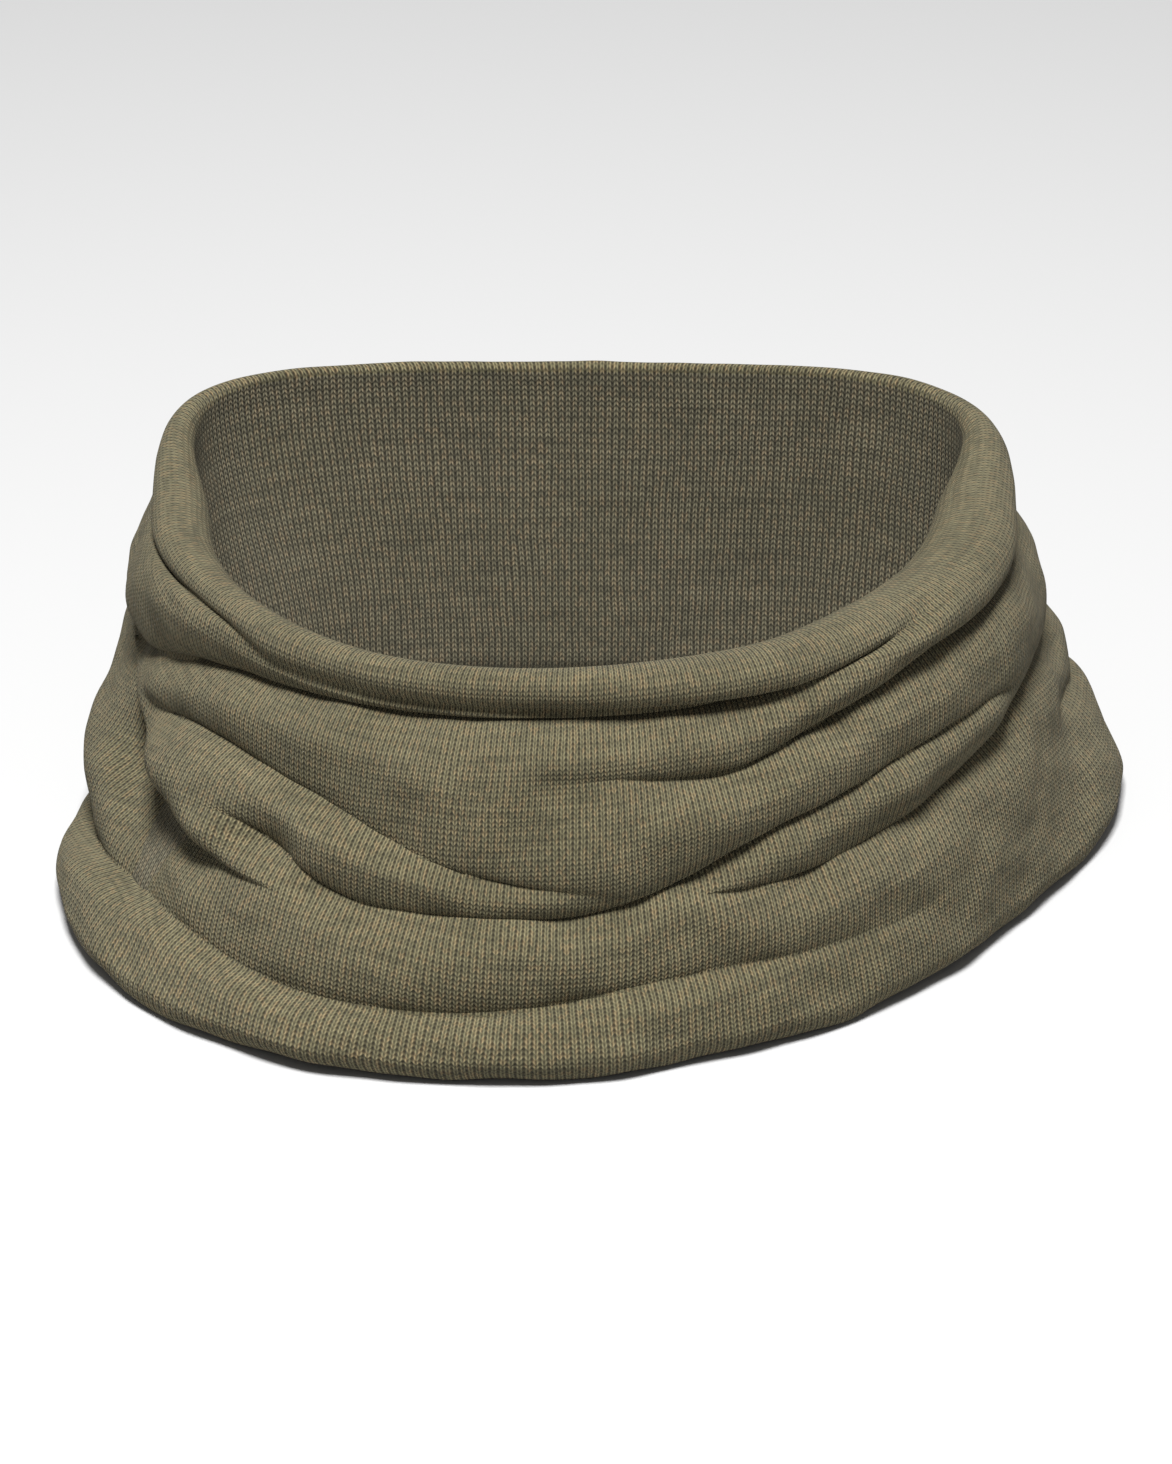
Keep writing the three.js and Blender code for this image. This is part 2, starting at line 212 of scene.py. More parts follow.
lining_radius = lining_radius_at(lining_height)
foot_radius, foot_height = arc(
    fold_centre, FOLD_MIDDLE, FOLD_RADIUS, FOLD_RADIUS, np.linspace(180, 360 + JOIN_ANGLE, FOOT_ROWS + 1)[1:])

wall_share = (wall_height - FOLD_MIDDLE) / (rim_start - FOLD_MIDDLE)
wall = (wall_radius(azimuth, wall_height) + fold_out * np.exp(-((wall_height - FOLD_MIDDLE) / 14) ** 2)
        + rim_out * wall_share**2)
radius = np.vstack([hem_radius, wall, roll_radius, lining_radius, foot_radius])
height = np.vstack([hem_height, wall_height, roll_height, lining_height, foot_height])
height = np.maximum(height, 0.0)

# How far up the cloth each point lies, as a height: past the end of the wall it goes on round the roll.
# The lining and the foot of it lie past every fold.
PAST_EVERY_FOLD = 999.0
hem_rise = FOLD_MIDDLE + FOLD_RADIUS * np.radians(np.linspace(JOIN_ANGLE, 0, HEM_ROWS + 1)[:-1])
roll_size = (roll_wide + roll_high) / 2
rise = np.vstack([
    np.repeat(hem_rise[:, None], COLUMNS, 1), wall_height,
    rim_start + roll_size * np.radians(roll_degrees)[:, None],
    np.full((LINING_ROWS + FOOT_ROWS, COLUMNS), PAST_EVERY_FOLD)])


def in_space(azimuths, radii, heights):
    """Places in millimetres from the middle of the tube's foot."""
    turn = np.radians(azimuths)
    heights = np.broadcast_to(heights, np.shape(radii))
    return np.stack([radii * np.sin(turn), -radii * np.cos(turn), heights], axis=-1)


def in_frame(places):
    """The same places in the frame, in metres."""
    return (places + TUBE_CENTRE) * MM


def normals_of(points):
    """Outward normals of the skin, whose rows and columns both close on themselves."""
    along = np.roll(points, -1, 1) - np.roll(points, 1, 1)
    up = np.roll(points, -1, 0) - np.roll(points, 1, 0)
    normal = np.cross(along, up)
    return normal / np.maximum(np.linalg.norm(normal, axis=-1, keepdims=True), 1e-9)


# The folds it has slumped into. Each crease is a line of (azimuth, rise, depth), with how far the
# cloth rolls away from it above and below, and how far the fold above hangs over it.
CREASES = [
    # Round behind from the right of the front, then under the rim to the right of the front again.
    dict(above=10, below=12, hang=2.5, line=[
        (-6, 58, 0), (8, 58, 4), (15, 57.4, 7), (23, 59, 9), (31, 62.5, 10), (39, 65.6, 10),
        (47, 68.5, 10), (55, 71, 10.5), (72, 72.5, 11), (90, 71, 10), (105, 66, 9), (140, 62, 6),
        (180, 59, 6), (210, 57, 6), (240, 54, 8), (258, 52.5, 11), (270, 53.5, 12), (283, 58.5, 12),
        (299, 66, 11), (311, 69, 11), (322, 69.7, 11), (338, 70, 10.5), (362, 70.8, 10.5),
        (375, 71.3, 10), (384, 72, 9), (392, 73.8, 8), (398, 76.8, 7), (405, 79, 5), (411, 81.3, 3),
        (420, 83, 0)]),
    # Over the wedge of cloth on the left.
    dict(above=7, below=9, hang=1.5, line=[
        (-128, 71, 0), (-108, 73, 7), (-90, 74.5, 9), (-76, 78, 8), (-64, 79.5, 6),
        (-56, 78.3, 4.5), (-49, 75.5, 3), (-42, 73, 0)]),
    # Swag from the left side down to the middle.
    dict(above=14, below=9, hang=3.5, line=[
        (-80, 55.3, 0), (-67, 55, 7), (-58, 55.6, 10), (-47, 54.9, 11.5), (-38, 52.3, 11.5), (-30, 49.1, 11),
        (-20, 43.5, 10), (-14, 41.6, 8.5), (-7, 39.8, 6.5), (-1, 38.8, 4), (8, 37.8, 0)]),
    # The lowest swag, slung right across the front.
    dict(above=12, below=11, hang=3.5, line=[
        (-52, 44.5, 0), (-44, 42.3, 6), (-37, 38.5, 9), (-29, 34, 10), (-13, 33.2, 10), (-1, 32.8, 10),
        (4, 34.4, 10), (11, 37.6, 10), (18, 42.3, 10), (24, 45.7, 9.5), (37, 49.8, 8.5), (46, 52.1, 8),
        (54, 53.8, 7), (60, 54.5, 6), (68, 54, 5), (80, 52, 0)]),
    # A short one beside its end.
    dict(above=6, below=6, hang=1.0, line=[
        (8, 35, 0), (15, 34.2, 3), (26, 31.8, 4), (34, 31.4, 3.5), (42, 33, 2), (50, 34, 0)]),
    # Under the right-hand folds, and round behind to the left.
    dict(above=14, below=14, hang=4.5, line=[
        (12, 33.6, 0), (26, 34.6, 5.5), (34, 36.6, 9.5), (42, 38.9, 11.5), (50, 40.8, 12.5), (58, 43, 13),
        (65, 45, 13), (72, 47.5, 13), (84, 48, 12), (98, 42, 10), (120, 38, 8), (150, 36, 6.5),
        (180, 36, 6.5), (210, 33, 6.5), (240, 28, 6.5), (262, 24, 4), (280, 20, 0)]),
    # Behind the wide cone of cloth on the right.
    dict(above=10, below=9, hang=1.0, line=[
        (84, 30, 0), (95, 27, 4), (105, 23, 5.5), (118, 20, 5), (135, 19, 0)]),
    # The edge of the drape over the band on the left.
    dict(above=6, below=22, hang=5.5, line=[
        (-93, 46, 0), (-83, 49, 7), (-75, 50.5, 15), (-67, 49, 20), (-61, 46, 20), (-55, 41.5, 17),
        (-50, 37, 12), (-46, 33.5, 7), (-41, 31.5, 2.5), (-34, 31, 0)]),
    # Over the bottom fold.
    dict(above=15, below=6, hang=0.8, line=[
        (96, 12, 0), (130, 13, 4), (180, 14, 5), (230, 13, 6), (255, 11.5, 7), (272, 11.5, 8),
        (282, 12.6, 9), (292, 16.6, 9.5), (302, 19.4, 9.5), (312, 19, 9.5), (320, 16.8, 9.5),
        (327, 15.6, 9), (338, 14.7, 8.5), (348, 14.2, 8), (357, 15.7, 7.5), (367, 17.7, 6), (377, 18.6, 4.5),
        (388, 18.2, 3), (408, 17.2, 0)]),
]
# Fuller places between them: (azimuth, rise, half-width in degrees, half-height, how far out).
SWELLS = [
    (-92, 59, 26, 5, 3.0), (-84, 25, 30, 6, 1.5), (88, 51, 30, 6, 1.5), (107, 18, 16, 12, 2.0),
    (-15, 42, 32, 6, 2.0), (30, 49, 26, 5, 2.0), (60, 55, 30, 6, 1.5), (-30, 20, 50, 5, 1.0),
    (-70, 37, 8, 12, -9.0), (-60, 29, 7, 9, -7.0), (-91, 22, 11, 8, 1.5), (-40, 41, 4, 4, -3.5),
    (-60, 49, 8, 5, 3.0), (-50, 42, 7, 5, 2.5), (20, 60, 10, 3, 1.0), (40, 25, 14, 5, 1.0)]
CREASE_ROUNDING = 0.7
HANG_HEIGHT = 2.6
MM_PER_DEGREE = 1.75


def crease_fields(crease):
    """Depth of the crease and the hang over it, at every point of the skin."""
    a, v, depth = (np.array(x, float) for x in zip(*crease["line"]))
    grid = np.arange(a[0], a[-1] + 0.5, 0.5)
    line = softened(np.interp(grid, a, v), 5, False)
    deep = softened(np.interp(grid, a, depth), 6, False)
    slope = np.gradient(line, grid) / MM_PER_DEGREE
    dips, hangs = [], []
    for turn in (-360, 0, 360):
        at = azimuth + turn
        here = np.interp(at, grid, deep, left=0, right=0)
        away = (rise - np.interp(at, grid, line)) / np.sqrt(1 + np.interp(at, grid, slope) ** 2)
        reach = np.where(away > 0, crease["above"], crease["below"])
        share = np.clip((np.hypot(away, CREASE_ROUNDING) - CREASE_ROUNDING * 0.5) / reach, 0, 1)
        dips.append(here * (1 - np.sqrt(1 - (1 - share) ** 2)))
        over = np.clip(away / HANG_HEIGHT, 0, None)
        hangs.append(crease["hang"] * here / 10 * over * np.exp(1 - over))
    return dips, hangs


TOP_ROW = HEM_ROWS + WALL_ROWS + 1 + UPPER_ROWS
skin = in_space(azimuth, radius, height)
outward = normals_of(skin)
upward = np.roll(skin, -1, 0) - np.roll(skin, 1, 0)
upward /= np.maximum(np.linalg.norm(upward, axis=-1, keepdims=True), 1e-9)
dip_power = np.zeros_like(rise)
hang = np.zeros_like(rise)
for crease in CREASES:
    dips, hangs = crease_fields(crease)
    for d in dips:
        dip_power += d**4
    for h in hangs:
        hang += h
dip = dip_power**0.25
# No crease reaches the inner layer behind it.
CLEAR_OF_LINING, LEAST_ROOM, OPEN_ROOM = 2.2, 0.5, 99.0
room = np.full_like(rise, OPEN_ROOM)
to_lining = radius[:TOP_ROW] - lining_radius_at(height[:TOP_ROW])
room[:TOP_ROW] = np.maximum(to_lining - CLEAR_OF_LINING, LEAST_ROOM)
dip = room * np.tanh(dip / room)
swell = np.zeros_like(rise)
for a, v, wide, high, out in SWELLS:
    apart = (azimuth - a + 180) % 360 - 180
    swell += out * np.exp(-((apart / wide) ** 2)) * np.exp(-(((rise - v) / high) ** 2))
# The cloth is never quite even: soft waves of (times round, turns per mm up, start, size in mm).
WAVES = [(5, 0.11, 1.0, 0.45), (9, -0.19, 2.2, 0.35), (14, 0.33, 0.4, 0.25), (23, -0.27, 1.7, 0.16),
         (31, 0.52, 2.9, 0.12), (47, -0.4, 0.2, 0.08)]
below_rim = 1 / (1 + np.exp((rise - rim_start) / 2))
for times, climb, start, size in WAVES:
    swell += below_rim * size * np.sin(times * np.radians(azimuth) + climb * np.minimum(rise, 99) + start)

skin = skin + outward * (swell - dip)[..., None] - upward * hang[..., None]
skin[..., 2] = np.maximum(skin[..., 2], 0.0)
skin_normals = normals_of(skin)

# The cloth's own measure: wales are counted round the tube, courses along it from the rim's crown.
WALES = 412
COURSE = 1.05
LINING_STRETCH = 1.25
steps = np.linalg.norm(np.diff(skin, axis=0), axis=-1)
course = np.vstack([np.zeros(COLUMNS), np.cumsum(steps, axis=0)])
CROWN_ROW = TOP_ROW + ROLL_ROWS // 2
course = (course[CROWN_ROW] - course) / COURSE
course = np.where(course < 0, course / LINING_STRETCH, course)
course = np.apply_along_axis(softened, 1, course, 6, True)

skin_m = in_frame(skin)
CLOTH = 1.0


def looped_cloth(name, section, measure):
    """A mesh of rows of places, the last row joining the first, with its knit measured in a UV map."""
    rows, columns = section.shape[:2]
    bm = bmesh.new()
    bm.verts.layers.int.new("column")
    bm.verts.layers.int.new("row")
    bm.loops.layers.uv.new("cloth")
    column_of, row_of = bm.verts.layers.int["column"], bm.verts.layers.int["row"]
    cloth_uv = bm.loops.layers.uv["cloth"]
    bmesh.ops.create_grid(bm, x_segments=columns, y_segments=rows, size=1)
    for v in bm.verts:
        v[column_of] = round((v.co.x + 1) / 2 * columns)
        v[row_of] = round((v.co.y + 1) / 2 * rows)
    for f in bm.faces:
        for loop in f.loops:
            c, r = loop.vert[column_of], loop.vert[row_of]
            loop[cloth_uv].uv = (c / columns * WALES, measure[r, c % columns])
    for v in bm.verts:
        v.co = section[v[row_of] % rows, v[column_of] % columns]
    rim = [v for v in bm.verts if v.is_boundary]
    bmesh.ops.remove_doubles(bm, verts=rim, dist=1e-7)
    mesh = bpy.data.meshes.new(name)
    bm.to_mesh(mesh)
    bm.free()
    piece = bpy.data.objects.new(name, mesh)
    bpy.context.scene.collection.objects.link(piece)
    mesh.shade_smooth()
    return piece


def cloth_piece(name, first, last):
    """A closed loop of cloth: those rows of the skin, with the back of the cloth inside them."""
    face = skin_m[first:last + 1]
    normal = skin_normals[first:last + 1]
    inner_rows = np.unique(np.append(np.arange(0, last - first, 4), last - first))[::-1]
    back = face[inner_rows] - normal[inner_rows] * CLOTH * MM
    section = np.concatenate([face, back])
    own = course[first:last + 1]
    piece = looped_cloth(name, section, np.concatenate([own, own[inner_rows], own[:1]]))
    # The face keeps the normals of the whole skin, so that no line shows where two pieces meet.
    mesh = piece.data
    column = np.zeros(len(mesh.vertices), np.int32)
    row = np.zeros(len(mesh.vertices), np.int32)
    mesh.attributes["column"].data.foreach_get("value", column)
    mesh.attributes["row"].data.foreach_get("value", row)
    column, row = column % COLUMNS, row % len(section)
    on_face = row <= last - first
    vertex_normal = np.zeros((len(mesh.vertices), 3))
    vertex_normal[on_face] = normal[row[on_face], column[on_face]]
    vertex_of = np.zeros(len(mesh.loops), np.int32)
    mesh.loops.foreach_get("vertex_index", vertex_of)
    face_of = np.repeat(np.arange(len(mesh.polygons)), 4)
    whole = on_face[vertex_of].reshape(-1, 4).all(axis=1)
    loop_normal = np.where(whole[face_of][:, None], vertex_normal[vertex_of], 0.0)
    mesh.normals_split_custom_set(loop_normal.tolist())
    return piece


HEM, TOP = HEM_ROWS, HEM_ROWS + WALL_ROWS
LINING = TOP + UPPER_ROWS + ROLL_ROWS

bottom_knit = cloth_piece("bottom_fold_knit", 0, HEM)
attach(bottom_knit, "collar")
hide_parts("bottom_fold")

outer_knit = cloth_piece("outer_layer_knit", HEM, TOP)
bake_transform(outer_knit)
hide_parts("outer_layer")

top_knit = cloth_piece("top_fold_knit", TOP, LINING)
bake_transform(top_knit)
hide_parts("top_fold")

inner_knit = cloth_piece("inner_layer_knit", LINING, len(skin) - 1)
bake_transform(inner_knit)
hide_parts("inner_layer")


def knit_stitches():
    """Plain jersey seen from its face: each wale a column of small V stitches, in cloth units."""
    group = bpy.data.node_groups.new("knit_stitches", "ShaderNodeTree")
    group.interface.new_socket("Cloth", in_out="INPUT", socket_type="NodeSocketVector")
    for name in ("Height", "Streak", "Stitch", "Cloud"):
        group.interface.new_socket(name, in_out="OUTPUT", socket_type="NodeSocketFloat")
    nodes, links = group.nodes, group.links
    taken = nodes.new("NodeGroupInput")
    given = nodes.new("NodeGroupOutput")

    def math_node(operation, *values):
        node = nodes.new("ShaderNodeMath")
        node.operation = operation
        for socket, value in zip(node.inputs, values):
            if isinstance(value, (int, float)):
                socket.default_value = value
            else:
                links.new(value, socket)
        return node.outputs[0]

    cloth = nodes.new("ShaderNodeSeparateXYZ")
    links.new(taken.outputs["Cloth"], cloth.inputs[0])
    wales, courses = cloth.outputs[0], cloth.outputs[1]
    turn = math_node("MULTIPLY", wales, 2 * math.pi / WALES)
    east = math_node("MULTIPLY", math_node("COSINE", turn), WALES / (2 * math.pi))
    north = math_node("MULTIPLY", math_node("SINE", turn), WALES / (2 * math.pi))

    def noise(across, along, detail):
        """Smooth noise that closes on itself round the tube, as fine as that per wale and per course."""
        place = nodes.new("ShaderNodeCombineXYZ")
        for socket, value, share in zip(place.inputs, (east, north, courses), (across, across, along)):
            links.new(math_node("MULTIPLY", value, share), socket)
        node = nodes.new("ShaderNodeTexNoise")
        node.inputs["Scale"].default_value = 1
        node.inputs["Detail"].default_value = detail
        links.new(place.outputs[0], node.inputs["Vector"])
        return node.outputs[0]

    sway = math_node("MULTIPLY", math_node("SUBTRACT", noise(0.12, 0.05, 2), 0.5), 1.1)
    bob = math_node("MULTIPLY", math_node("SUBTRACT", noise(0.07, 0.12, 2), 0.5), 1.2)
    wale = math_node("ADD", wales, sway)
    course = math_node("ADD", courses, bob)
    side = math_node("ABSOLUTE", math_node("SUBTRACT", math_node("FRACT", wale), 0.5))
    rib = math_node("SUBTRACT", 1, math_node("POWER", math_node("MULTIPLY", side, 2), 1.7))
    leg = math_node("COSINE", math_node("MULTIPLY", math_node("SUBTRACT", side, 0.22), 4 * math.pi))
    slanted = math_node("ADD", course, math_node("MULTIPLY", side, 1.4))
    bead = math_node("COSINE", math_node("MULTIPLY", slanted, 2 * math.pi))
    height = math_node("ADD", math_node("MULTIPLY", rib, 0.30), math_node("ADD",
                       math_node("MULTIPLY", leg, 0.40), math_node("MULTIPLY", bead, 0.18)))
    links.new(height, given.inputs["Height"])
    links.new(noise(0.09, 0.8, 3), given.inputs["Streak"])
    cell = nodes.new("ShaderNodeCombineXYZ")
    links.new(math_node("FLOOR", math_node("MULTIPLY", wale, 2)), cell.inputs[0])
    links.new(math_node("FLOOR", slanted), cell.inputs[1])
    white = nodes.new("ShaderNodeTexWhiteNoise")
    links.new(cell.outputs[0], white.inputs["Vector"])
    links.new(white.outputs["Value"], given.inputs["Stitch"])
    links.new(noise(0.035, 0.05, 3), given.inputs["Cloud"])
    return group


STITCHES = knit_stitches()


def jersey(name, shade, light, brown):
    """The jersey's finish: heathered olive yarn with painted shade between stitches, painted light on loops.
    """
    material = bpy.data.materials.new(name)
    material.use_nodes = True
    nodes, links = material.node_tree.nodes, material.node_tree.links
    shader = nodes["Principled BSDF"]
    cloth = nodes.new("ShaderNodeUVMap")
    cloth.uv_map = "cloth"
    stitches = nodes.new("ShaderNodeGroup")
    stitches.node_tree = STITCHES
    links.new(cloth.outputs[0], stitches.inputs["Cloth"])

    def mixed(factor, low, high, a, b):
        share = nodes.new("ShaderNodeMapRange")
        share.inputs["From Min"].default_value = low
        share.inputs["From Max"].default_value = high
        links.new(factor, share.inputs["Value"])
        mix = nodes.new("ShaderNodeMix")
        mix.data_type = "RGBA"
        links.new(share.outputs[0], mix.inputs["Factor"])
        for socket, value in ((mix.inputs["A"], a), (mix.inputs["B"], b)):
            if isinstance(value, tuple):
                socket.default_value = (*value, 1)
            else:
                links.new(value, socket)
        return mix.outputs["Result"]

    yarn = mixed(stitches.outputs["Streak"], 0.2, 0.8, shade, light)
    loops = mixed(stitches.outputs["Stitch"], 0.0, 1.0, (0.78, 0.78, 0.78), (1.24, 1.24, 1.24))
    yarn = mixed(stitches.outputs["Stitch"], 0.55, 1.5, yarn, brown)
    cloud = mixed(stitches.outputs["Cloud"], 0.3, 0.7, (0.93, 0.93, 0.9), (1.06, 1.05, 1.05))
    # Painted shade: the colour is darkened where the stitches lie low and lightened where their loops stand
    # high.
    painted_stitch_shade = mixed(stitches.outputs["Height"], -0.45, 0.8, (0.22, 0.20, 0.18), (1.55, 1.55, 1.53))
    for layer in (painted_stitch_shade, cloud, loops):
        tint = nodes.new("ShaderNodeMix")
        tint.data_type = "RGBA"
        tint.blend_type = "MULTIPLY"
        tint.inputs["Factor"].default_value = 1
        links.new(yarn, tint.inputs["A"])
        links.new(layer, tint.inputs["B"])
        yarn = tint.outputs["Result"]
    links.new(yarn, shader.inputs["Base Color"])
    bump = nodes.new("ShaderNodeBump")
    bump.inputs["Strength"].default_value = 1
    bump.inputs["Distance"].default_value = 0.0004
    links.new(stitches.outputs["Height"], bump.inputs["Height"])
    links.new(bump.outputs[0], shader.inputs["Normal"])
    shader.inputs["Roughness"].default_value = 0.95
    shader.inputs["Specular IOR Level"].default_value = 0.2
    shader.inputs["Sheen Weight"].default_value = 0.06
    shader.inputs["Sheen Roughness"].default_value = 0.6
    shader.inputs["Sheen Tint"].default_value = (0.75, 0.72, 0.6, 1)
    return material


outer_finish = jersey(
    "olive_jersey", shade=(0.067, 0.0605, 0.0335), light=(0.134, 0.121, 0.070), brown=(0.124, 0.081, 0.041))
inner_finish = jersey(
    "olive_jersey_lining", shade=(0.072, 0.066, 0.043), light=(0.130, 0.119, 0.079),
    brown=(0.115, 0.080, 0.046))
for piece in (bottom_knit, outer_knit, top_knit):
    piece.data.materials.append(outer_finish)
inner_knit.data.materials.append(inner_finish)

# ---- Where the tube is joined -----------------------------------------------------------------------
# The two cut edges of the tube lie on each other and stand in the hollow of the bottom fold. They are the
# same jersey, about 5 mm of each, joined by the seam at their foot.

# The middle line of the two edges, from the middle of the hollow and the floor.
EDGE_LINE = [(-2.75, 7.4), (-2.8, 6.2), (-3.0, 5.0), (-3.5, 3.9), (-4.3, 3.2), (-4.1, 2.75), (-3.0, 3.0),
             (-2.2, 3.8), (-1.9, 5.0), (-1.75, 6.2), (-1.7, 7.4)]
EDGE_THICKNESS = 0.7
edge_line = np.array(EDGE_LINE)
edge_share = np.linspace(0, len(edge_line) - 1, 25)
edge_line = np.stack([np.interp(edge_share, np.arange(len(edge_line)), edge_line[:, i]) for i in (0, 1)], 1)
edge_way = np.gradient(edge_line, axis=0)
edge_way /= np.linalg.norm(edge_way, axis=1, keepdims=True)
edge_side = np.stack([-edge_way[:, 1], edge_way[:, 0]], 1) * EDGE_THICKNESS / 2
edge_loop = np.concatenate([edge_line + edge_side, (edge_line - edge_side)[::-1]])
waver = 0.25 * np.sin(13 * np.radians(azimuth)) + 0.2 * np.sin(29 * np.radians(azimuth) + 1)
lean = np.clip((edge_loop[:, 1:] - 3.5) / 4, 0, 1) * waver
edge_section = in_frame(in_space(azimuth, fold_centre + edge_loop[:, :1] + lean, edge_loop[:, 1:]))
edge_measure = np.append(0, np.cumsum(np.linalg.norm(np.diff(edge_loop, axis=0), axis=1)))
edge_measure = np.append(edge_measure, edge_measure[-1] + EDGE_THICKNESS)[:, None] / COURSE
joined_edges = looped_cloth("join_seam_edges", edge_section, np.repeat(edge_measure, COLUMNS, 1))
joined_edges.data.materials.append(inner_finish)
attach(joined_edges, "collar")
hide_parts("join_seam_allowance")

# ---- Overlock thread --------------------------------------------------------------------------------
# Polyester thread overlocked over the two raw edges, once round from behind, to stop the knit running.

OVERLOCK_PITCH = 3.0
OVERLOCK_MIDDLE = (-2.25, 6.3)
OVERLOCK_REACH = (1.25, 1.5)
THREAD_RADIUS = 0.22


def hollow_at(azimuths):
    """Radius of the middle of the bottom fold's hollow."""
    return np.interp(azimuths, np.append(azimuth, 180.0), np.append(fold_centre, fold_centre[0]))


def thread_piece(name, places, radius):
    """A six-sided thread of that radius along the places, as a mesh with closed ends."""
    curve = bpy.data.curves.new(name, "CURVE")
    curve.dimensions = "3D"
    curve.bevel_depth = radius * MM
    curve.bevel_resolution = 1
    curve.use_fill_caps = True
    line = curve.splines.new("POLY")
    line.points.add(len(places) - 1)
    line.points.foreach_set("co", np.column_stack([places, np.ones(len(places))]).ravel())
    holder = bpy.data.objects.new(name + "_line", curve)
    bpy.context.scene.collection.objects.link(holder)
    bpy.context.view_layer.update()
    mesh = bpy.data.meshes.new_from_object(holder.evaluated_get(bpy.context.evaluated_depsgraph_get()))
    bpy.data.objects.remove(holder)
    bpy.data.curves.remove(curve)
    mesh.name = name
    mesh.shade_smooth()
    piece = bpy.data.objects.new(name, mesh)
    bpy.context.scene.collection.objects.link(piece)
    return piece


def twisted_plies():
    """The slanting plies of a spun thread, broken up by its fibres."""
    group = bpy.data.node_groups.new("twisted_plies", "ShaderNodeTree")
    group.interface.new_socket("Place", in_out="INPUT", socket_type="NodeSocketVector")
    group.interface.new_socket("Ply", in_out="OUTPUT", socket_type="NodeSocketFloat")
    nodes, links = group.nodes, group.links
    taken = nodes.new("NodeGroupInput")
    given = nodes.new("NodeGroupOutput")
    plies = nodes.new("ShaderNodeTexWave")
    plies.wave_type = "BANDS"
    plies.bands_direction = "DIAGONAL"
    plies.inputs["Scale"].default_value = 900
    plies.inputs["Distortion"].default_value = 1.5
    links.new(taken.outputs["Place"], plies.inputs["Vector"])
    fibre = nodes.new("ShaderNodeTexNoise")
    fibre.inputs["Scale"].default_value = 1500
    fibre.inputs["Detail"].default_value = 4
    links.new(taken.outputs["Place"], fibre.inputs["Vector"])
    share = nodes.new("ShaderNodeMath")
    share.operation = "MULTIPLY"
    links.new(plies.outputs["Fac"], share.inputs[0])
    links.new(fibre.outputs[0], share.inputs[1])
    links.new(share.outputs[0], given.inputs["Ply"])
    return group


PLIES = twisted_plies()


def thread_finish(name, dark, light):
    """Spun polyester with a slight sheen."""
    material = bpy.data.materials.new(name)
    material.use_nodes = True
    nodes, links = material.node_tree.nodes, material.node_tree.links
    shader = nodes["Principled BSDF"]
    place = nodes.new("ShaderNodeTexCoord")
    plies = nodes.new("ShaderNodeGroup")
    plies.node_tree = PLIES
    links.new(place.outputs["Object"], plies.inputs["Place"])
    mix = nodes.new("ShaderNodeMix")
    mix.data_type = "RGBA"
    links.new(plies.outputs["Ply"], mix.inputs["Factor"])
    mix.inputs["A"].default_value = (*dark, 1)
    mix.inputs["B"].default_value = (*light, 1)
    links.new(mix.outputs["Result"], shader.inputs["Base Color"])
    bump = nodes.new("ShaderNodeBump")
    bump.inputs["Strength"].default_value = 0.6
    bump.inputs["Distance"].default_value = 0.0001
    links.new(plies.outputs["Ply"], bump.inputs["Height"])
    links.new(bump.outputs[0], shader.inputs["Normal"])
    shader.inputs["Roughness"].default_value = 0.5
    shader.inputs["Sheen Weight"].default_value = 0.2
    return material


olive_thread = thread_finish("olive_thread", (0.055, 0.05, 0.03), (0.16, 0.145, 0.09))

OVERLOCK_FROM, OVERLOCK_TO = -178, 178
POINTS_PER_TURN = 10
overlock_turns = int(2 * math.pi * hollow_at(0.0) / OVERLOCK_PITCH)
overlock_share = np.linspace(0, 1, overlock_turns * POINTS_PER_TURN + 1)
overlock_azimuth = OVERLOCK_FROM + (OVERLOCK_TO - OVERLOCK_FROM) * overlock_share
swing = 2 * math.pi * overlock_turns * overlock_share
overlock_away = OVERLOCK_MIDDLE[0] + OVERLOCK_REACH[0] * np.cos(swing)
overlock_away += np.interp(overlock_azimuth, azimuth, waver) * 0.7
overlock_radius = hollow_at(overlock_azimuth) + overlock_away
overlock_height = OVERLOCK_MIDDLE[1] + OVERLOCK_REACH[1] * np.sin(swing)
overlock_places = in_frame(in_space(overlock_azimuth, overlock_radius, overlock_height))
overlock = thread_piece("overlock_stitching", overlock_places, THREAD_RADIUS)
overlock.data.materials.append(olive_thread)
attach(overlock, "collar")
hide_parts("overlock_thread")

# ---- Closing stitches -------------------------------------------------------------------------------
# A short row of hand stitches across the join, behind on the right, where the tube was turned right side
# out. Each stitch lies on the cloth and slants over the join.

CLOSING_FROM, CLOSING_TO, CLOSING_STITCHES = 136, 158, 10
CLOSING_SPREAD = 12
closing_share = np.linspace(0, 1, CLOSING_STITCHES * 16 + 1)
closing_azimuth = CLOSING_FROM + (CLOSING_TO - CLOSING_FROM) * closing_share
closing_swing = np.sin(2 * math.pi * CLOSING_STITCHES * closing_share)
closing_angle = np.radians(JOIN_ANGLE + CLOSING_SPREAD * closing_swing)
closing_away = FOLD_RADIUS + THREAD_RADIUS * 0.8
closing_radius = hollow_at(closing_azimuth) + closing_away * np.cos(closing_angle)
closing_height = np.maximum(FOLD_MIDDLE + closing_away * np.sin(closing_angle), THREAD_RADIUS)
closing_places = in_frame(in_space(closing_azimuth, closing_radius, closing_height))
closing = thread_piece("closing_hand_stitches", closing_places, THREAD_RADIUS)
closing.data.materials.append(olive_thread)
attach(closing, "collar")
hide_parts("closing_stitches")
